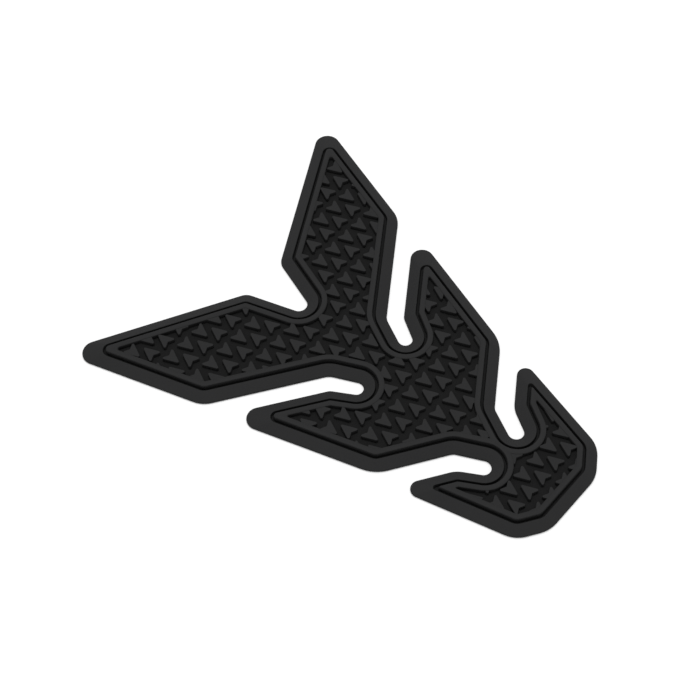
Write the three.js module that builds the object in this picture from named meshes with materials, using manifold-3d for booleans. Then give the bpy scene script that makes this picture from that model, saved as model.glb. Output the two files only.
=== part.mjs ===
// Motorcycle tank pad, moulded in one piece from soft black rubber.
//
// The pad lies flat on z = 0 with its studded face up. +Y points up the tank, towards
// the open fork between the two big arms; the chin, where the pad ends, is at -Y. The
// origin is the middle of the outline's box, on the underside. All sizes are in
// millimetres and all leans are degrees from the +X direction.
//
// The right half of the outline is drawn as straight edges joined by round corners and
// mirrored. Every other line of the border runs at a fixed distance inside the outline:
// the sloping skirt ends at a lip, then come a narrow groove, a flat raised rim and the
// sunken field, which arrow-shaped studs fill in a regular pattern.

import * as THREE from 'three';
import { mergeGeometries, mergeVertices } from 'three/addons/utils/BufferGeometryUtils.js';
import Module from 'manifold-3d';

// Heights above the underside
const edgeThickness = 1.2;
const lipHeight = 3.4;
const rimHeight = 4.4;
const grooveDepth = 2.0;
const fieldDepth = 2.2;
const studHeight = 2.0;

// Widths of the border, each measured square to the outline
const skirtWidth = 4.8;
const grooveWidth = 1.5;
const rimWidth = 2.3;

// Fork between the big arms
const forkBottomAlong = 134.5;
const forkBottomRound = 3.7;
const forkWallLean = 71.4;
const forkShoulderRound = 6;
const forkShoulderLipRound = 3.5;

// Big arms at the top: tip of the straight edges before it is rounded
const bigTipAcross = 83.7;
const bigTipAlong = 206.1;
const bigTipRound = 5.6;
const bigTipLipRound = 3.2;
const bigTopLean = 28.5;
const bigOuterLean = 72;
const bigCornerRound = 12;

// Middle arms. Their length runs from the slot's elbow to the tip of the straight edges.
const middleArmLength = 46.3;
const middleTipRound = 5.1;
const middleTipLipRound = 2.8;
const middleOuterLean = 72.1;
const middleCornerRound = 16.6;

// Lower arms, measured in the same way, and the chin
const lowerArmLength = 26.2;
const lowerTipRound = 3.7;
const lowerTipLipRound = 1.2;
const lowerOuterLean = 75.1;
const lowerCornerAlong = 8;
const lowerCornerRound = 12.8;
const chinHalfWidth = 15.3;
const chinRound = 14.2;

// Slots that part the arms: a round end near the spine, a run that opens slightly
// towards an elbow, then a straight mouth between the arms
const upperSlot = {
  endAcross: 15.9, endAlong: 100, endRound: 3.1, runLean: 61.55, runFlare: 5.1, runLength: 11.5,
  mouthLean: 34.3, mouthWidth: 7.3, upperElbowRound: 7.4, lowerElbowRound: 4.5,
};
const lowerSlot = {
  endAcross: 10.8, endAlong: 37.1, endRound: 3.4, runLean: 61.3, runFlare: 4, runLength: 11.8,
  mouthLean: 33.5, mouthWidth: 7.9, upperElbowRound: 4.8, lowerElbowRound: 11.7,
};

// Outward corners of the groove's lip, and how they tighten on the lines inside it
const lipCornerRound = 5.5;
const lipElbowRound = 3;
const roundLostPerInset = 0.6;
const leastRound = 0.3;

// Studs: arrowheads with a notched base, in rows that point up and down in turn
const studPitchAcross = 8.62;
const studPitchAlong = 14.46;
const studRowAlong = 99.44;
const studHalfWidth = 3.56;
const studLength = 8.06;
const studNotch = 1.75;
const studBluntness = 0.95;
const studRowGap = 1.42;
const studDraft = 0.15;
const leastStudReach = 0.6;

// How far one solid reaches into the next before they are joined
const overlap = 0.4;
const headroom = 1;

// Fineness of the round corners, and how near the middle a point counts as on it
const degreesPerFacet = 16;
const onMiddle = 1e-6;

const rubberBlack = new THREE.Color(0x2b2b2c);

const wasm = await Module();
wasm.setup();

// A straight edge of the outline, stored as the lean of its outward normal and its
// reach, the distance from the origin to the edge along that normal.
function edgeThrough(point, normalLean) {
  return { normalLean, reach: unit(normalLean).dot(point) };
}

function unit(lean) {
  const angle = THREE.MathUtils.degToRad(lean);
  return new THREE.Vector2(Math.cos(angle), Math.sin(angle));
}

// The point where two edges meet after both are moved outwards by the same shift.
function meeting(first, second, shift = 0) {
  const a = unit(first.normalLean);
  const b = unit(second.normalLean);
  const reachA = first.reach + shift;
  const reachB = second.reach + shift;
  const cross = a.x * b.y - a.y * b.x;
  return new THREE.Vector2((reachA * b.y - reachB * a.y) / cross, (reachB * a.x - reachA * b.x) / cross);
}

// Where an edge crosses a line of constant y.
function edgeAtAlong(edge, along) {
  const normal = unit(edge.normalLean);
  return new THREE.Vector2((edge.reach - normal.y * along) / normal.x, along);
}

// The four walls of a slot. The run's walls touch its round end, and the mouth's walls
// lie on either side of the elbow.
function slotWalls(slot) {
  const end = new THREE.Vector2(slot.endAcross, slot.endAlong);
  const elbow = end.clone().addScaledVector(unit(slot.runLean), slot.runLength);
  const wallAt = (point, normalLean, distance) => {
    const edge = edgeThrough(point, normalLean);
    edge.reach -= distance;
    return edge;
  };
  return {
    end,
    upperMouth: wallAt(elbow, slot.mouthLean - 90, slot.mouthWidth / 2),
    upperRun: wallAt(end, slot.runLean + slot.runFlare / 2 - 90, slot.endRound),
    lowerRun: wallAt(end, slot.runLean - slot.runFlare / 2 + 90, slot.endRound),
    lowerMouth: wallAt(elbow, slot.mouthLean + 90, slot.mouthWidth / 2),
  };
}

// A corner that points out of the pad, with its radius at the outline and at the lip.
function outward(before, after, round, lipRound = lipCornerRound) {
  return { before, after, round, lipRound };
}

// A corner that bites into the pad: every inner line runs round the same centre.
function inward(before, after, round, centre = meeting(before, after, round)) {
  return { before, after, round, centre };
}

// Tip of the arm below a slot, before it is rounded.
function armTip(walls, slot, armLength) {
  return meeting(walls.lowerRun, walls.lowerMouth).addScaledVector(unit(slot.mouthLean), armLength);
}

// The corners of the right half, from the bottom of the fork round to the chin.
function padCorners() {
  const upper = slotWalls(upperSlot);
  const lower = slotWalls(lowerSlot);
  const bigTip = new THREE.Vector2(bigTipAcross, bigTipAlong);
  const forkBottom = new THREE.Vector2(0, forkBottomAlong);
  const forkMiddle = { normalLean: 90, reach: forkBottomAlong };
  const forkWall = edgeThrough(forkBottom, forkWallLean + 90);
  const forkCentre = new THREE.Vector2(0, forkBottomAlong + forkBottomRound / unit(forkWallLean).x);
  const bigTop = edgeThrough(bigTip, bigTopLean + 90);
  const bigOuter = edgeThrough(bigTip, bigOuterLean - 90);
  const middleTip = armTip(upper, upperSlot, middleArmLength);
  const middleOuter = edgeThrough(middleTip, middleOuterLean - 90);
  const lowerTip = armTip(lower, lowerSlot, lowerArmLength);
  const lowerOuter = edgeThrough(lowerTip, lowerOuterLean - 90);
  const lowerCorner = edgeAtAlong(lowerOuter, lowerCornerAlong);
  const chinCorner = new THREE.Vector2(chinHalfWidth, 0);
  const bevelRun = lowerCorner.clone().sub(chinCorner);
  const bevelLean = THREE.MathUtils.radToDeg(Math.atan2(bevelRun.y, bevelRun.x));
  const bevel = edgeThrough(chinCorner, bevelLean - 90);
  const chin = { normalLean: -90, reach: 0 };
  return [
    inward(forkMiddle, forkWall, forkBottomRound, forkCentre),
    outward(forkWall, bigTop, forkShoulderRound, forkShoulderLipRound),
    outward(bigTop, bigOuter, bigTipRound, bigTipLipRound),
    outward(bigOuter, upper.upperMouth, bigCornerRound),
    inward(upper.upperMouth, upper.upperRun, upperSlot.upperElbowRound),
    inward(upper.upperRun, upper.lowerRun, upperSlot.endRound, upper.end),
    outward(upper.lowerRun, upper.lowerMouth, upperSlot.lowerElbowRound, lipElbowRound),
    outward(upper.lowerMouth, middleOuter, middleTipRound, middleTipLipRound),
    outward(middleOuter, lower.upperMouth, middleCornerRound),
    inward(lower.upperMouth, lower.upperRun, lowerSlot.upperElbowRound),
    inward(lower.upperRun, lower.lowerRun, lowerSlot.endRound, lower.end),
    outward(lower.lowerRun, lower.lowerMouth, lowerSlot.lowerElbowRound, lipElbowRound),
    outward(lower.lowerMouth, lowerOuter, lowerTipRound, lowerTipLipRound),
    outward(lowerOuter, bevel, lowerCornerRound),
    outward(bevel, chin, chinRound),
  ];
}

// Radius of an outward corner on the line that runs at a given inset.
function outwardRound(corner, inset) {
  if (inset === 0) {
    return corner.round;
  }
  return Math.max(corner.lipRound - roundLostPerInset * (inset - skirtWidth), leastRound);
}

// An angle brought between 0 and 360 degrees.
function wholeTurn(turn) {
  return THREE.MathUtils.euclideanModulo(turn, 360);
}

// The arc that rounds one corner of the line at a given inset from the outline.
function cornerArc(corner, inset) {
  const isInward = corner.centre !== undefined;
  const start = corner.before.normalLean;
  const turn = corner.after.normalLean - start;
  const sweep = isInward ? wholeTurn(turn) : -wholeTurn(-turn);
  const radius = isInward ? -(corner.round + inset) : outwardRound(corner, inset);
  const centre = isInward ? corner.centre : meeting(corner.before, corner.after, -inset - radius);
  const facets = Math.ceil(Math.abs(sweep) / degreesPerFacet);
  return Array.from({ length: facets + 1 }, (_, i) => (
    centre.clone().addScaledVector(unit(start + sweep * i / facets), radius)));
}

// How much is left, at an inset, of the straight edge between two neighbouring corners.
function straightLeft(corner, next, inset) {
  const start = cornerArc(corner, inset).at(-1);
  const end = cornerArc(next, inset)[0];
  return end.sub(start).dot(unit(corner.after.normalLean - 90));
}

// The corners of the line at an inset. Where the edge between two outward corners has
// shrunk to nothing there, the edges on either side of it meet in one corner instead.
function cornersAt(corners, inset) {
  const isOutward = (corner) => corner.centre === undefined;
  const lost = corners.findIndex((corner, i) => (
    i + 1 < corners.length && isOutward(corner) && isOutward(corners[i + 1])
    && straightLeft(corner, corners[i + 1], inset) < 0));
  if (lost < 0) {
    return corners;
  }
  const [first, second] = corners.slice(lost, lost + 2);
  const joined = outward(first.before, second.after, second.round, second.lipRound);
  return cornersAt([...corners.slice(0, lost), joined, ...corners.slice(lost + 2)], inset);
}

// Right half of the line that runs at a given inset, from the fork to the chin.
function halfLine(corners, inset) {
  const line = cornersAt(corners, inset).flatMap((corner) => cornerArc(corner, inset));
  line[0].x = 0;
  return line;
}

// A half line that crosses the pad's middle is parted there, so that the line at a
// narrow neck becomes two closed loops, one above the neck and one below it.
function runsRightOfMiddle(line) {
  const runs = [[line[0]]];
  line.slice(1).forEach((point, i) => {
    const last = line[i];
    if (last.x * point.x < 0) {
      const middle = last.clone().lerp(point, last.x / (last.x - point.x));
      if (point.x < 0) {
        runs.at(-1).push(middle);
      } else {
        runs.push([middle]);
      }
    }
    if (point.x >= 0) {
      runs.at(-1).push(point);
    }
  });
  return runs;
}

// Closes a right half with its mirror image.
function mirrored(run) {
  const left = run.filter((point) => point.x > onMiddle).map((point) => new THREE.Vector2(-point.x, point.y));
  return [...run, ...left.reverse()];
}

function loopsAt(corners, inset) {
  return runsRightOfMiddle(halfLine(corners, inset)).map(mirrored);
}

// A geometry becomes an exact solid once only its shared positions are left.
function solid(geometry) {
  const bare = geometry.index ? geometry.toNonIndexed() : geometry.clone();
  bare.deleteAttribute('normal');
  bare.deleteAttribute('uv');
  const merged = mergeVertices(bare);
  return new wasm.Manifold(new wasm.Mesh({
    numProp: 3,
    vertProperties: new Float32Array(merged.attributes.position.array),
    triVerts: new Uint32Array(merged.index.array),
  }));
}

// Upright walls on closed loops, between two heights.
function prism(loops, bottom, top) {
  const settings = { depth: top - bottom, bevelEnabled: false };
  const pieces = loops.map((loop) => new THREE.ExtrudeGeometry(new THREE.Shape(loop), settings));
  return solid(mergeGeometries(pieces).translate(0, 0, bottom));
}

// Sloping walls between clockwise loops with the same number of points, each given with
// its height, closed by a flat face at either end.
function loft(levels) {
  const count = levels[0].loop.length;
  const positions = levels.flatMap(({ loop, height }) => loop.flatMap((point) => [point.x, point.y, height]));
  const faces = [];
  for (let level = 1; level < levels.length; level += 1) {
    const low = (level - 1) * count;
    const high = level * count;
    for (let i = 0; i < count; i += 1) {
      const next = (i + 1) % count;
      faces.push(low + i, high + i, high + next, low + i, high + next, low + next);
    }
  }
  const lid = (levels.length - 1) * count;
  for (const [a, b, c] of THREE.ShapeUtils.triangulateShape(levels[0].loop, [])) {
    faces.push(a, c, b);
  }
  for (const [a, b, c] of THREE.ShapeUtils.triangulateShape(levels.at(-1).loop, [])) {
    faces.push(lid + a, lid + b, lid + c);
  }
  const geometry = new THREE.BufferGeometry();
  geometry.setAttribute('position', new THREE.Float32BufferAttribute(positions, 3));
  geometry.setIndex(faces);
  return geometry;
}

// Skirt with a thin upright edge and a slope up to the lip of the groove.
function skirt(corners) {
  const outline = mirrored(halfLine(corners, 0));
  const lip = mirrored(halfLine(corners, skirtWidth));
  return solid(loft([
    { loop: outline, height: 0 },
    { loop: outline, height: edgeThickness },
    { loop: lip, height: lipHeight },
  ]));
}

// Plan of one stud that points to +Y, clockwise from its blunt tip, with the middle of
// its base line at the origin. Growing it moves every side outwards.
function studPlan(grow) {
  const sideLean = THREE.MathUtils.radToDeg(Math.atan2(studLength, studHalfWidth));
  const baseLean = THREE.MathUtils.radToDeg(Math.atan2(studNotch, studHalfWidth));
  const tip = new THREE.Vector2(0, studLength);
  const notch = new THREE.Vector2(0, studNotch);
  const wing = new THREE.Vector2(studHalfWidth, 0);
  const bluntTip = edgeThrough(tip.clone().addScaledVector(unit(-90), studBluntness), 90);
  const side = edgeThrough(tip, 90 - sideLean);
  const wingLean = -(sideLean + baseLean) / 2;
  const bluntWing = edgeThrough(wing.clone().addScaledVector(unit(wingLean), -studBluntness), wingLean);
  const base = edgeThrough(notch, -90 - baseLean);
  const baseLeft = edgeThrough(notch, -90 + baseLean);
  const half = [
    meeting(bluntTip, side, grow),
    meeting(side, bluntWing, grow),
    meeting(bluntWing, base, grow),
    meeting(base, baseLeft, grow),
  ];
  return mirrored(half);
}

// One stud with drafted walls, standing on the field's floor and sunk into it.
function studGeometry() {
  const floor = rimHeight - fieldDepth;
  return loft([
    { loop: studPlan(studDraft), height: floor - overlap },
    { loop: studPlan(studDraft), height: floor },
    { loop: studPlan(0), height: floor + studHeight },
  ]);
}

// Where the studs of the pattern stand, each with the way it points, 1 up or -1 down.
function studPlaces() {
  const columns = Math.ceil(bigTipAcross / studPitchAcross);
  const firstRow = Math.floor(-studRowAlong / studPitchAlong);
  const lastRow = Math.ceil((bigTipAlong - studRowAlong) / studPitchAlong) + 1;
  const places = [];
  for (let row = firstRow; row <= lastRow; row += 1) {
    const base = studRowAlong + row * studPitchAlong;
    for (let column = -columns; column <= columns; column += 1) {
      const across = column * studPitchAcross;
      places.push({ across, along: base, way: 1 });
      places.push({ across: across + studPitchAcross / 2, along: base - studRowGap, way: -1 });
    }
  }
  return places;
}

// Whether a point lies inside a closed loop: a line from it to +X crosses the loop an
// odd number of times.
function isInside(point, loop) {
  const crossed = loop.filter((start, i) => {
    const end = loop[(i + 1) % loop.length];
    const share = (point.y - start.y) / (end.y - start.y);
    return start.y > point.y !== end.y > point.y && start.x + share * (end.x - start.x) > point.x;
  });
  return crossed.length % 2 === 1;
}

// The studs that reach into the given loops by more than a sliver, before they are cut.
function studPattern(loops) {
  const plan = studPlan(0);
  const upStud = studGeometry();
  const downStud = upStud.clone().rotateZ(Math.PI);
  const reaching = studPlaces().filter(({ across, along, way }) => {
    const corners = plan.map((point) => new THREE.Vector2(across + way * point.x, along + way * point.y));
    return corners.some((corner) => loops.some((loop) => isInside(corner, loop)));
  });
  const studs = reaching.map(({ across, along, way }) => (
    (way > 0 ? upStud : downStud).clone().translate(across, along, 0)));
  return solid(mergeGeometries(studs));
}

// The whole pad as one solid.
function padSolid() {
  const corners = padCorners();
  const rimInset = skirtWidth + grooveWidth;
  const fieldInset = rimInset + rimWidth;
  const grooveFloor = lipHeight - grooveDepth;
  const fieldFloor = rimHeight - fieldDepth;
  const well = prism(loopsAt(corners, skirtWidth), grooveFloor, rimHeight + headroom);
  const panel = prism(loopsAt(corners, rimInset), grooveFloor - overlap, rimHeight);
  const field = prism(loopsAt(corners, fieldInset), fieldFloor, rimHeight + headroom);
  const studRoom = prism(loopsAt(corners, fieldInset - overlap), 0, rimHeight);
  const studs = studPattern(loopsAt(corners, fieldInset + leastStudReach)).intersect(studRoom);
  return skirt(corners).subtract(well).add(panel).subtract(field).add(studs);
}

// Back to a geometry, with its origin under the middle of the outline's box.
function centredGeometry(body) {
  const mesh = body.getMesh();
  const geometry = new THREE.BufferGeometry();
  geometry.setAttribute('position', new THREE.BufferAttribute(new Float32Array(mesh.vertProperties), 3));
  geometry.setIndex(new THREE.BufferAttribute(new Uint32Array(mesh.triVerts), 1));
  geometry.computeBoundingBox();
  const middle = geometry.boundingBox.getCenter(new THREE.Vector3());
  return geometry.translate(0, -middle.y, 0);
}

function tankPad() {
  const rubber = new THREE.MeshStandardMaterial({ color: rubberBlack, roughness: 0.7, metalness: 0 });
  const mesh = new THREE.Mesh(centredGeometry(padSolid()), rubber);
  mesh.name = 'tank_pad';
  return mesh;
}

const pad = new THREE.Group();
pad.add(tankPad());

export default pad;
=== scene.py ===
"""Motorcycle tank pad: one sheet of moulded black rubber, shown flat on a white table."""

import math

import bpy
import numpy as np
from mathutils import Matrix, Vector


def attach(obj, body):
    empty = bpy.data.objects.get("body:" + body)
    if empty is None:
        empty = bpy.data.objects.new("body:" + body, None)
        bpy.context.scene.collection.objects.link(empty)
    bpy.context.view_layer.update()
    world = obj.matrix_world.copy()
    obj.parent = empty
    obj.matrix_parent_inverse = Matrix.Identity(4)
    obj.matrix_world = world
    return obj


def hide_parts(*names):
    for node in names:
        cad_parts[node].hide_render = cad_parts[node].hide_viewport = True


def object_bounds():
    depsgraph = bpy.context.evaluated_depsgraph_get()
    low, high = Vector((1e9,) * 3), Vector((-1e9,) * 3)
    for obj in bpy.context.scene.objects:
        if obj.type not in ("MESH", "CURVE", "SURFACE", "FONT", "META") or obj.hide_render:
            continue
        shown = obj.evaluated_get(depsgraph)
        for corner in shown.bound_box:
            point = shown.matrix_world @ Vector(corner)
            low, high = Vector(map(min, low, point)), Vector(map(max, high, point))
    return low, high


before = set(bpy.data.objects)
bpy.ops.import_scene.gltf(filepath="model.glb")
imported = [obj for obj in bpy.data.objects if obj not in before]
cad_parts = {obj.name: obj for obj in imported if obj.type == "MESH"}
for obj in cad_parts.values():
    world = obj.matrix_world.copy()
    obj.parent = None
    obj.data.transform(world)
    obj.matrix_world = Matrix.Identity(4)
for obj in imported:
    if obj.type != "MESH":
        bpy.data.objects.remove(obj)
cad_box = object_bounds()

# The pad's outline. The real pad is one compression-moulded sheet of soft rubber, and its
# outline is straight edges joined by round corners: two big arms with an open fork between
# them, two middle arms and two lower arms parted by bent slots, and a blunt chin.
#
# The right half is drawn in millimetres from the middle of the chin, from the fork round
# to the chin, and mirrored. Leans are degrees from +X. Every other line of the border
# runs at a set distance inside the outline.

fork = {"along": 134.5, "round": 3.7, "wall_lean": 71.4, "shoulder_round": 6, "shoulder_lip_round": 3.5}
big_arm = {"across": 83.7, "along": 206.1, "round": 5.6, "lip_round": 3.2, "top_lean": 28.5,
           "outer_lean": 72, "corner_round": 12}
middle_arm = {"length": 46.3, "round": 5.1, "lip_round": 2.8, "outer_lean": 72.1, "corner_round": 16.6}
lower_arm = {"length": 26.2, "round": 3.7, "lip_round": 1.2, "outer_lean": 75.1, "corner_along": 8,
             "corner_round": 12.8}
chin = {"half_width": 15.3, "round": 14.2}
upper_slot = {"end": (15.9, 100), "round": 3.1, "run_lean": 61.55, "run_flare": 5.1, "run_length": 11.5,
              "mouth_lean": 34.3, "mouth_width": 7.3, "upper_elbow": 7.4, "lower_elbow": 4.5}
lower_slot = {"end": (10.8, 37.1), "round": 3.4, "run_lean": 61.3, "run_flare": 4, "run_length": 11.8,
              "mouth_lean": 33.5, "mouth_width": 7.9, "upper_elbow": 4.8, "lower_elbow": 11.7}

skirt_width = 4.8
groove_width = 1.5
rim_width = 2.3
lip_corner_round = 5.5
lip_elbow_round = 3.0
round_lost_across_rim = 0.78
least_round = 0.3
degrees_per_column = 5
on_middle = 1e-6


def heading(lean):
    """Unit vector that leans by the given degrees from +X."""
    angle = np.radians(lean)
    return np.stack([np.cos(angle), np.sin(angle)], axis=-1)


def edge_through(point, normal_lean):
    """A straight edge: the lean of its outward normal, and its distance from the origin
    along that normal."""
    return normal_lean, float(heading(normal_lean) @ np.asarray(point, float))


def meeting(first, second, shift=0.0):
    """Where two edges cross after both are moved outwards by shift: the point whose
    product with each normal is that edge's distance. One point for each value of shift."""
    normals = np.array([heading(first[0]), heading(second[0])])
    reaches = np.array([first[1] + np.asarray(shift), second[1] + np.asarray(shift)])
    return (np.linalg.inv(normals) @ reaches).T


def slot_walls(slot):
    """The four walls of a slot: a run that opens slightly from its round end to an elbow,
    and a mouth with parallel walls on either side of the elbow."""
    end = np.array(slot["end"], float)
    elbow = end + slot["run_length"] * heading(slot["run_lean"])
    half_flare = slot["run_flare"] / 2

    def wall(point, normal_lean, distance):
        return edge_through(np.asarray(point) - distance * heading(normal_lean), normal_lean)

    return {
        "upper_mouth": wall(elbow, slot["mouth_lean"] - 90, slot["mouth_width"] / 2),
        "upper_run": wall(end, slot["run_lean"] + half_flare - 90, slot["round"]),
        "lower_run": wall(end, slot["run_lean"] - half_flare + 90, slot["round"]),
        "lower_mouth": wall(elbow, slot["mouth_lean"] + 90, slot["mouth_width"] / 2),
    }


def outward(before, after, radius, lip_radius=lip_corner_round):
    """A corner that points out of the pad, with its radius at the outline and at the lip."""
    return {"before": before, "after": after, "radius": radius, "lip_radius": lip_radius, "centre": None}


def inward(before, after, radius, centre=None):
    """A corner that bites into the pad. Every line of the border runs round its centre."""
    centre = meeting(before, after, radius) if centre is None else np.asarray(centre, float)
    return {"before": before, "after": after, "radius": radius, "centre": centre}


def arm_tip(walls, slot, arm):
    """Tip of the straight edges of the arm below a slot, measured from the slot's elbow."""
    return meeting(walls["lower_run"], walls["lower_mouth"]) + arm["length"] * heading(slot["mouth_lean"])


upper = slot_walls(upper_slot)
lower = slot_walls(lower_slot)
fork_middle = (90, fork["along"])
fork_wall = edge_through((0, fork["along"]), fork["wall_lean"] + 90)
fork_centre = (0, fork["along"] + fork["round"] / math.cos(math.radians(fork["wall_lean"])))
big_tip = (big_arm["across"], big_arm["along"])
big_top = edge_through(big_tip, big_arm["top_lean"] + 90)
big_outer = edge_through(big_tip, big_arm["outer_lean"] - 90)
middle_outer = edge_through(arm_tip(upper, upper_slot, middle_arm), middle_arm["outer_lean"] - 90)
lower_outer = edge_through(arm_tip(lower, lower_slot, lower_arm), lower_arm["outer_lean"] - 90)
chin_edge = (-90, 0.0)
lower_corner = meeting(lower_outer, (90, lower_arm["corner_along"]))
bevel_run = lower_corner - (chin["half_width"], 0)
bevel = edge_through((chin["half_width"], 0), math.degrees(math.atan2(bevel_run[1], bevel_run[0])) - 90)

arm_corners = [
    inward(fork_middle, fork_wall, fork["round"], fork_centre),
    outward(fork_wall, big_top, fork["shoulder_round"], fork["shoulder_lip_round"]),
    outward(big_top, big_outer, big_arm["round"], big_arm["lip_round"]),
    outward(big_outer, upper["upper_mouth"], big_arm["corner_round"]),
    inward(upper["upper_mouth"], upper["upper_run"], upper_slot["upper_elbow"]),
    inward(upper["upper_run"], upper["lower_run"], upper_slot["round"], upper_slot["end"]),
    outward(upper["lower_run"], upper["lower_mouth"], upper_slot["lower_elbow"], lip_elbow_round),
    outward(upper["lower_mouth"], middle_outer, middle_arm["round"], middle_arm["lip_round"]),
    outward(middle_outer, lower["upper_mouth"], middle_arm["corner_round"]),
    inward(lower["upper_mouth"], lower["upper_run"], lower_slot["upper_elbow"]),
]
neck_corner = inward(lower["upper_run"], lower["lower_run"], lower_slot["round"], lower_slot["end"])
chin_corners = [
    outward(lower["lower_run"], lower["lower_mouth"], lower_slot["lower_elbow"], lip_elbow_round),
    outward(lower["lower_mouth"], lower_outer, lower_arm["round"], lower_arm["lip_round"]),
    outward(lower_outer, bevel, lower_arm["corner_round"]),
    outward(bevel, chin_edge, chin["round"]),
]


def outward_radius(corner, insets):
    """Radius of an outward corner: it goes evenly from the outline's to the lip's across
    the skirt, keeps the lip's centre across the groove and shrinks a little over the rim."""
    lip_radius = corner["lip_radius"]
    rim_radius = max(lip_radius - groove_width, least_round)
    field_radius = max(rim_radius - round_lost_across_rim, least_round)
    lines = np.cumsum([0, skirt_width, groove_width, rim_width])
    return np.interp(insets, lines, [corner["radius"], lip_radius, rim_radius, field_radius])


def corner_arc(corner, insets, first_lean=None):
    """One corner on all the lines of the border, as an array of insets by columns. A
    point is the arc's centre plus the radius times the heading of its lean, and the leans
    go evenly from the edge before to the edge after, or start at first_lean."""
    insets = np.asarray(insets, float)
    before, after = corner["before"][0], corner["after"][0]
    if corner["centre"] is None:
        sweep = -((before - after) % 360)
        radius = outward_radius(corner, insets)
        centre = meeting(corner["before"], corner["after"], -insets - radius)
    else:
        sweep = (after - before) % 360
        radius = -(corner["radius"] + insets)
        centre = np.broadcast_to(corner["centre"], (len(insets), 2))
    share = np.linspace(0, 1, math.ceil(abs(sweep) / degrees_per_column) + 1)
    first = np.full(len(insets), float(before)) if first_lean is None else first_lean
    leans = first[:, None] + (before + sweep - first)[:, None] * share
    return centre[:, None, :] + radius[:, None, None] * heading(leans)


def mirrored(half):
    """Closes right halves of lines with their mirror images. Points on the middle line
    aren't repeated."""
    off_middle = half[:, np.abs(half[:, :, 0]).max(axis=0) > on_middle]
    return np.concatenate([half, (off_middle * (-1, 1))[:, ::-1]], axis=1)


def border_lines(insets):
    """The whole lines of the border at the given insets, each with as many points."""
    corners = [*arm_corners, neck_corner, *chin_corners]
    half = np.concatenate([corner_arc(corner, insets) for corner in corners], axis=1)
    half[:, 0, 0] = 0
    return mirrored(half)


def upper_field_lines(insets):
    """Lines round the field above the neck. Their last point is where the slot's upper
    wall meets the middle line."""
    half = np.concatenate([corner_arc(corner, insets) for corner in arm_corners], axis=1)
    lean, reach = lower["upper_run"]
    neck = np.stack([0 * insets, (reach - insets) / heading(lean)[1]], axis=1)
    half = np.concatenate([half, neck[:, None]], axis=1)
    half[:, 0, 0] = 0
    return mirrored(half)


def lower_field_lines(insets):
    """Lines round the field below the neck. They start where the arc round the slot's end
    comes back over the middle line: the cosine of that lean is the end's distance from
    the middle over the arc's radius."""
    past_middle = np.degrees(np.arccos(lower_slot["end"][0] / (lower_slot["round"] + insets)))
    arcs = [corner_arc(neck_corner, insets, first_lean=past_middle)]
    arcs += [corner_arc(corner, insets) for corner in chin_corners]
    half = np.concatenate(arcs, axis=1)
    half[:, 0, 0] = 0
    return mirrored(half)


# The border. On the real pad it is moulded in one with the rest: a thin upright edge, a
# skirt that slopes up to a lip, a narrow groove and a flat raised rim, with every edge
# slightly rounded, as rubber leaves the mould.

millimetre = 0.001
edge_thickness = 1.2
lip_height = 3.4
rim_height = 4.4
groove_depth = 2.0
groove_draft = 0.25
edge_softness = 0.35
lip_softness = 0.4
groove_softness = 0.2
rim_softness = 0.35
inside_box = 0.01
underside_strip = 1.6
rim_strip = 0.9
chin_place = cad_box[0].y / millimetre

border_section = [
    (underside_strip, 0, 0),
    (inside_box, 0, edge_softness),
    (inside_box, edge_thickness, edge_softness),
    (skirt_width, lip_height, lip_softness),
    (skirt_width + groove_draft, lip_height - groove_depth, groove_softness),
    (skirt_width + groove_width - groove_draft, lip_height - groove_depth, groove_softness),
    (skirt_width + groove_width, rim_height, rim_softness),
    (skirt_width + groove_width + rim_strip, rim_height, 0),
]


def softened(section, steps=4):
    """A section of straight lines with rounded corners. Each corner comes with a distance,
    and a quadratic curve joins the points that lie that far before and after it."""
    points = np.array([corner[:2] for corner in section], float)
    share = np.linspace(0, 1, steps)[:, None]
    made = [points[:1]]
    for before, corner, after, (_, _, distance) in zip(points, points[1:], points[2:], section[1:]):
        start = corner + distance * (before - corner) / np.linalg.norm(before - corner)
        end = corner + distance * (after - corner) / np.linalg.norm(after - corner)
        made.append((1 - share) ** 2 * start + 2 * share * (1 - share) * corner + share**2 * end)
    return np.concatenate([*made, points[-1:]])


def ring_faces(levels, count):
    """Faces of a closed solid whose points come ring after ring: quads that join each
    point and the next one round to those of the ring above, and a flat face on the first
    and the last ring. Rings run clockwise and rise from the bottom."""
    index = np.arange(levels * count).reshape(levels, count)
    around = np.roll(index, -1, axis=1)
    walls = np.stack([index[:-1], index[1:], around[1:], around[:-1]], axis=-1).reshape(-1, 4)
    return walls, np.stack([index[0], index[-1, ::-1]])


def ring_mesh(name, rings):
    """A closed solid from an array of rings by points by three, in millimetres from the
    chin. Its points are the rings', moved along to where the chin lies in the frame."""
    levels, count, _ = rings.shape
    walls, lids = ring_faces(levels, count)
    faces = [*walls.tolist(), *lids.tolist()]
    places = (rings.reshape(-1, 3) + (0, chin_place, 0)) * millimetre
    mesh = bpy.data.meshes.new(name)
    mesh.from_pydata(places.tolist(), [], faces)
    return mesh


def swept(lines, section):
    """A section carried along lines: each of its points has a line at its inset, raised
    to its height."""
    heights = np.broadcast_to(section[:, 1][:, None, None], (*lines.shape[:2], 1))
    return np.concatenate([lines, heights], axis=2)


def placed(mesh):
    """An object at the origin that holds the mesh."""
    made = bpy.data.objects.new(mesh.name, mesh)
    bpy.context.scene.collection.objects.link(made)
    return made


border_profile = softened(border_section)
body = placed(ring_mesh("pad_body", swept(border_lines(border_profile[:, 0]), border_profile)))

# The field. The mould leaves it sunk inside the rim in two pockets, one above and one
# below the narrow neck between the lower slots, with a soft edge where the rim turns down.

field_depth = 2.2
field_inset = skirt_width + groove_width + rim_width
field_floor = rim_height - field_depth
wall_draft = 0.12
wall_softness = 0.32
above_rim = 1.0
past_surface = 0.003

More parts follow.
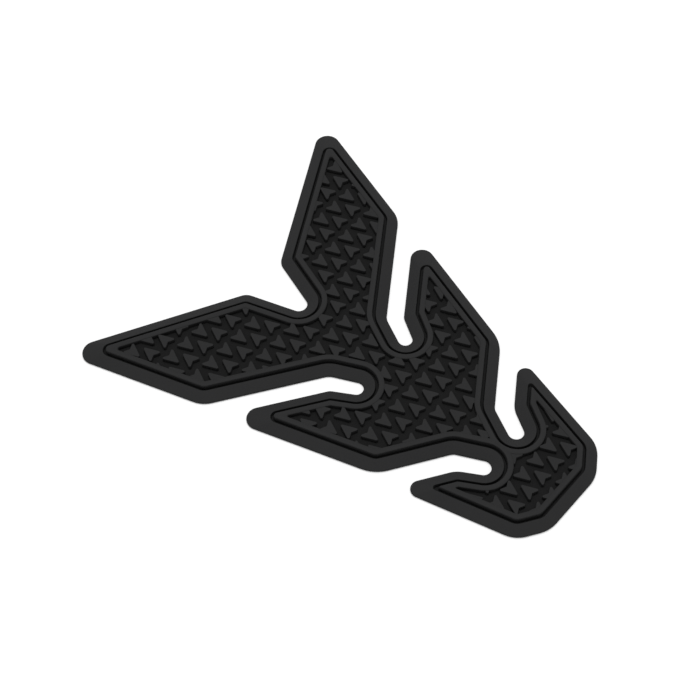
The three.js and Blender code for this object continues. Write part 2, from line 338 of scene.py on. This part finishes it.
pocket_section = softened([
    (field_inset + wall_draft, field_floor, 0),
    (field_inset, rim_height + past_surface, wall_softness),
    (field_inset - wall_softness, rim_height + past_surface, 0),
])
pocket_section = np.vstack([pocket_section[:-1], (field_inset - wall_softness, rim_height + above_rim)])


def joined(name, meshes):
    """One object from several meshes, which stay separate shells."""
    parts = [placed(mesh) for mesh in meshes]
    with bpy.context.temp_override(active_object=parts[0], selected_editable_objects=parts):
        bpy.ops.object.join()
    parts[0].name = name
    return parts[0]


def combined(first, second, operation):
    """The first object's mesh becomes its union, difference or intersection with the
    second, which is used up."""
    boolean = first.modifiers.new("combine", "BOOLEAN")
    boolean.operation = operation
    boolean.solver = "MANIFOLD"
    boolean.object = second
    bpy.context.view_layer.update()
    shaped = first.evaluated_get(bpy.context.evaluated_depsgraph_get())
    old = first.data
    first.data = bpy.data.meshes.new_from_object(shaped)
    first.modifiers.clear()
    bpy.data.meshes.remove(old)
    bpy.data.objects.remove(second)
    return first


def field_solid(name, section):
    """Both parts of the field as solids with the given section."""
    insets = section[:, 0]
    return joined(name, [
        ring_mesh(name + "_upper", swept(upper_field_lines(insets), section)),
        ring_mesh(name + "_lower", swept(lower_field_lines(insets), section)),
    ])


combined(body, field_solid("pockets", pocket_section), "DIFFERENCE")

# The studs. They are moulded arrowheads with a notched base and slightly drafted sides,
# in rows that point up and down the tank in turn; the rim cuts off those at its edge.

pitch_across = 8.62
pitch_along = 14.46
first_row_along = 99.44
row_gap = 1.42
stud_half_width = 3.56
stud_length = 8.06
stud_notch = 1.75
stud_height = 2.0
stud_draft = 0.15
stud_softness = 0.18
tip_round = 0.6
tip_points = 3
wing_round = 0.55
wing_points = 5
stud_sink = 0.4
least_reach = 0.6
into_rim = 0.4
room_below_rim = 0.1


def stud_ring(grow):
    """Plan of a stud that points to +Y, clockwise from its tip, grown by a distance. Tip
    and wings are short arcs round fixed centres; the notch is one point, where the two
    halves of the base meet."""
    side_lean = math.degrees(math.atan2(stud_half_width, stud_length))
    base_lean = math.degrees(math.atan2(stud_notch, stud_half_width))
    side = edge_through((stud_half_width, 0), side_lean)
    base = edge_through((0, stud_notch), -90 - base_lean)
    left_side = (180 - side_lean, side[1])
    left_base = (base_lean - 90, base[1])
    tip = meeting(left_side, side, -tip_round)
    wing = meeting(side, base, -wing_round)
    tip_arc = tip + (tip_round + grow) * heading(np.linspace(90, side_lean, tip_points))
    wing_leans = np.linspace(side_lean, -90 - base_lean, wing_points)
    wing_arc = wing + (wing_round + grow) * heading(wing_leans)
    notch = meeting(base, left_base, grow)
    half = np.vstack([tip_arc, wing_arc, notch])
    return mirrored(half[None])[0]


stud_top = field_floor + stud_height
soft_middle = 0.3 * stud_softness
stud_levels = [
    (stud_draft, field_floor - stud_sink),
    (stud_draft, field_floor),
    (0, stud_top - stud_softness),
    (-soft_middle, stud_top - soft_middle),
    (-stud_softness, stud_top),
]
stud_rings = swept(
    np.stack([stud_ring(grow) for grow, _ in stud_levels]),
    np.array(stud_levels),
)


def stud_places():
    """Where the studs stand, as rows of across, along and way: the lattice of upward
    studs, and the downward ones half a pitch across and a row gap below them."""
    columns = np.arange(-12, 13)
    rows = np.arange(-8, 10)
    across, along = np.meshgrid(columns * pitch_across, first_row_along + rows * pitch_along)
    up = np.stack([across, along, np.ones_like(across)], axis=-1)
    down = np.stack([across + pitch_across / 2, along - row_gap, -np.ones_like(across)], axis=-1)
    return np.concatenate([up.reshape(-1, 3), down.reshape(-1, 3)])


def inside(points, loop):
    """Whether points lie inside a closed loop: a line from each to +X crosses the loop an
    odd number of times."""
    start, end = loop, np.roll(loop, -1, axis=0)
    x, y = points[..., 0, None], points[..., 1, None]
    rise = np.where(end[:, 1] == start[:, 1], 1.0, end[:, 1] - start[:, 1])
    cross_at = start[:, 0] + (y - start[:, 1]) / rise * (end[:, 0] - start[:, 0])
    crossed = ((start[:, 1] > y) != (end[:, 1] > y)) & (cross_at > x)
    return crossed.sum(axis=-1) % 2 == 1


def stud_field():
    """All the studs that reach into the field, as one mesh of separate shells. A point of
    a stud is the point of the pattern, turned by the stud's way, plus the stud's place."""
    places = stud_places()
    plan = stud_ring(0.0)
    corners = places[:, None, :2] + places[:, None, 2:] * plan
    reach = np.array([field_inset + least_reach])
    reaching = inside(corners, upper_field_lines(reach)[0]) | inside(corners, lower_field_lines(reach)[0])
    kept = places[reaching.any(axis=1)]
    levels, count, _ = stud_rings.shape
    flat = stud_rings.reshape(-1, 3)
    spin = np.column_stack([kept[:, 2], kept[:, 2], np.ones(len(kept))])
    shift = np.column_stack([kept[:, 0], kept[:, 1] + chin_place, np.zeros(len(kept))])
    points = (flat * spin[:, None] + shift[:, None]) * millimetre
    walls, lids = ring_faces(levels, count)
    steps = (np.arange(len(kept)) * len(flat))[:, None, None]
    all_walls = (walls + steps).reshape(-1, 4)
    all_lids = (lids + steps).reshape(-1, count)
    mesh = bpy.data.meshes.new("studs")
    mesh.from_pydata(points.reshape(-1, 3).tolist(), [], [*all_walls.tolist(), *all_lids.tolist()])
    return placed(mesh)


room_inset = field_inset - into_rim
room_section = np.array([(room_inset, 0), (room_inset, rim_height - room_below_rim)])
studs = combined(stud_field(), field_solid("stud_room", room_section), "INTERSECT")

# The whole pad. Border, field and studs are one moulding, so they become one closed skin.
# Its raised faces are a little paler than the groove and the field's floor, which are painted in shade.

# How far the raised faces' colour shows through the painted shade on stud tops and in the groove.
stud_tops_unshaded = 0.94
groove_unshaded = 0.3
past_lip = 0.02
before_field = 0.5
height_slack = 0.01
sharp_from = 38
hairline = 0.004

pad = combined(body, studs, "UNION")
pad.name = "rubber_pad"
pad.data.name = "rubber_pad"


def mark_raised(mesh):
    """Stores how far each vertex is free of painted shade: wholly on the skirt and the rim,
    nearly as much on the stud tops, little in the groove, and not at all on the field's floor."""
    places = np.empty(3 * len(mesh.vertices))
    mesh.vertices.foreach_get("co", places)
    places = places.reshape(-1, 3) / millimetre
    insets = np.array([skirt_width + past_lip, field_inset - before_field])
    lip_line, rim_line = border_lines(insets) + (0, chin_place)
    in_lip = inside(places[:, :2], lip_line)
    in_rim = inside(places[:, :2], rim_line)
    on_top = places[:, 2] > stud_top - stud_softness - height_slack
    kinds = [in_rim & on_top, on_top, in_rim, in_lip]
    values = np.select(kinds, [stud_tops_unshaded, 1, 0, groove_unshaded], 1)
    raised = mesh.attributes.new("raised", "FLOAT", "POINT")
    raised.data.foreach_set("value", values.astype(np.float32))


mark_raised(pad.data)
pad.data.shade_smooth()
pad.data.set_sharp_from_angle(angle=math.radians(sharp_from))
weld = pad.modifiers.new("hairline edges close up", "WELD")
weld.merge_threshold = hairline * millimetre
flatness = pad.modifiers.new("flat faces stay flat", "WEIGHTED_NORMAL")
flatness.keep_sharp = True
triangles = pad.modifiers.new("no folded slivers", "TRIANGULATE")
triangles.ngon_method = "BEAUTY"
triangles.keep_custom_normals = True

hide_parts("tank_pad")
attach(pad, "root")

# The rubber. It is filled with carbon black and leaves the mould matt, with a fine even
# grain that breaks up its weak sheen. The raised faces are a little paler than the
# recesses, which are painted darker as painted shade.

# The first pair is the recesses' colour with painted shade in it; the second is the raised faces' own.
painted_shade_dark, painted_shade_pale = (0.0093, 0.0093, 0.0094, 1), (0.0139, 0.0139, 0.0139, 1)
raised_dark, raised_pale = (0.0197, 0.0198, 0.0202, 1), (0.0281, 0.0281, 0.0285, 1)
fine_scale, coarse_scale = 1600, 60
fine_share, coarse_share = 0.6, 0.4
grain_depth = 0.05 * millimetre
full_roughness, roughness_lost_where_raised, added_by_mottle = 0.80, 0.20, 0.10
weak_sheen = 0.06


class Shade:
    """A value in a material's node tree. Operators on it add Math nodes, and node() adds
    any other kind."""

    def __init__(self, tree, socket=None):
        self.tree = tree
        self.socket = socket

    def node(self, kind, settings=None, inputs=None, output=0):
        """A node with its settings made first and then its sockets, each a value or a
        Shade. The result wraps the chosen output."""
        made = self.tree.nodes.new(kind)
        for key, value in (settings or {}).items():
            setattr(made, key, value)
        for key, value in (inputs or {}).items():
            if isinstance(value, Shade):
                self.tree.links.new(value.socket, made.inputs[key])
            else:
                made.inputs[key].default_value = value
        return Shade(self.tree, made.outputs[output] if made.outputs else None)

    def maths(self, operation, first, second):
        """A Math node on two values, each a number or a Shade."""
        return self.node("ShaderNodeMath", {"operation": operation}, {0: first, 1: second})

    def __add__(self, other):
        return self.maths("ADD", self, other)

    def __rsub__(self, other):
        return self.maths("SUBTRACT", other, self)

    def __mul__(self, other):
        return self.maths("MULTIPLY", self, other)

    __radd__ = __add__
    __rmul__ = __mul__


def material(name):
    """An empty material and the start of its node tree."""
    made = bpy.data.materials.new(name)
    made.use_nodes = True
    made.node_tree.nodes.clear()
    return made, Shade(made.node_tree)


rubber, shade = material("moulded_rubber")
place = shade.node("ShaderNodeTexCoord", output="Object")


def noise(scale, detail):
    """Even noise on Object coordinates, which are in metres."""
    inputs = {"Vector": place, "Scale": scale, "Detail": detail, "Roughness": 0.6}
    return shade.node("ShaderNodeTexNoise", inputs=inputs, output="Fac")


def mixed(factor, first, second):
    """A colour between two others."""
    settings = {"data_type": "RGBA"}
    return shade.node("ShaderNodeMix", settings, {0: factor, 6: first, 7: second}, output=2)


grain = noise(fine_scale, detail=2)
cloud = noise(coarse_scale, detail=3)
mottle = fine_share * grain + coarse_share * cloud
raised = shade.node("ShaderNodeAttribute", {"attribute_name": "raised"}, output="Fac")
raised_colour = mixed(mottle, raised_dark, raised_pale)
painted_shade_black = mixed(mottle, painted_shade_dark, painted_shade_pale)
# Painted shade: the recesses and the lower stud walls take the darker colour.
colour = mixed(raised * raised, painted_shade_black, raised_colour)
relief = {"Strength": 0.35, "Distance": grain_depth, "Height": grain}
bump = shade.node("ShaderNodeBump", inputs=relief, output="Normal")
surface = shade.node(
    "ShaderNodeBsdfPrincipled",
    inputs={
        "Base Color": colour,
        "Roughness": full_roughness - roughness_lost_where_raised * raised + added_by_mottle * mottle,
        "Normal": bump,
        "Specular IOR Level": weak_sheen,
    },
)
shade.node("ShaderNodeOutputMaterial", inputs={"Surface": surface})
pad.data.materials.clear()
pad.data.materials.append(rubber)

# The table and the light. The pad lies on a plain white table in the even light of a
# white studio tent, with one soft round lamp almost overhead, a little beyond the pad.

table_half = 3.0
table_top = -0.0001
table_white = (0.9, 0.9, 0.9, 1)
table_glow = 0.2
tent_light = 0.57

bpy.ops.mesh.primitive_plane_add(size=2 * table_half, location=(0, 0, table_top))
table = bpy.context.object
table.name = "white_table"
white, shade = material("white_table")
seen = shade.node("ShaderNodeLightPath", output="Is Camera Ray")
glow = shade.node("ShaderNodeCombineColor", inputs={"Red": seen, "Green": seen, "Blue": seen})
table_surface = shade.node(
    "ShaderNodeBsdfPrincipled",
    inputs={
        "Base Color": table_white,
        "Roughness": 1.0,
        "Specular IOR Level": 0.0,
        "Emission Color": glow,
        "Emission Strength": table_glow,
    },
)
shade.node("ShaderNodeOutputMaterial", inputs={"Surface": table_surface})
table.data.materials.append(white)

# The tent shows as plain white, also in the pad's sheen, and lights the pad less than that.
world = bpy.data.worlds.new("studio")
bpy.context.scene.world = world
world.use_nodes = True
world.node_tree.nodes.clear()
sky = Shade(world.node_tree)
in_view = sky.node("ShaderNodeLightPath", output="Is Camera Ray")
in_sheen = sky.node("ShaderNodeLightPath", output="Is Glossy Ray")
seen_through = sky.node("ShaderNodeLightPath", output="Is Transmission Ray")
strength = tent_light + (1 - tent_light) * (in_view + in_sheen + seen_through)
tent = sky.node("ShaderNodeBackground", inputs={"Color": (1, 1, 1, 1), "Strength": strength})
sky.node("ShaderNodeOutputWorld", inputs={"Surface": tent})

lamp_data = bpy.data.lights.new("soft_lamp", "AREA")
lamp_data.shape = "DISK"
lamp_data.size = 0.6
lamp_data.energy = 9.3
lamp = bpy.data.objects.new("soft_lamp", lamp_data)
bpy.context.scene.collection.objects.link(lamp)


def aimed(thing, target, azimuth, elevation, distance):
    """Puts a camera or lamp on a sphere round a target and turns it to face the target.
    Azimuth 0 is in front, at -Y, and 90 at +X."""
    turn, rise = math.radians(azimuth), math.radians(elevation)
    back = np.array([math.sin(turn) * math.cos(rise), -math.cos(turn) * math.cos(rise), math.sin(rise)])
    thing.location = np.asarray(target) + distance * back
    thing.rotation_euler = (math.pi / 2 - rise, 0, turn)


aimed(lamp, (0, 0, 0), azimuth=131, elevation=81, distance=1.4)

# The camera. A long lens looks down over the left of the pad's chin, from two thirds of a
# metre away, so the pad lies slanting in the picture.

camera_data = bpy.data.cameras.new("camera")
camera_data.sensor_width = 36
camera_data.lens = 82.29
camera = bpy.data.objects.new("camera", camera_data)
bpy.context.scene.collection.objects.link(camera)
bpy.context.scene.camera = camera
aimed(camera, (-0.00286, 0.01459, 0), azimuth=-49.26, elevation=57.65, distance=0.6745)

bpy.context.scene.view_settings.view_transform = "Standard"
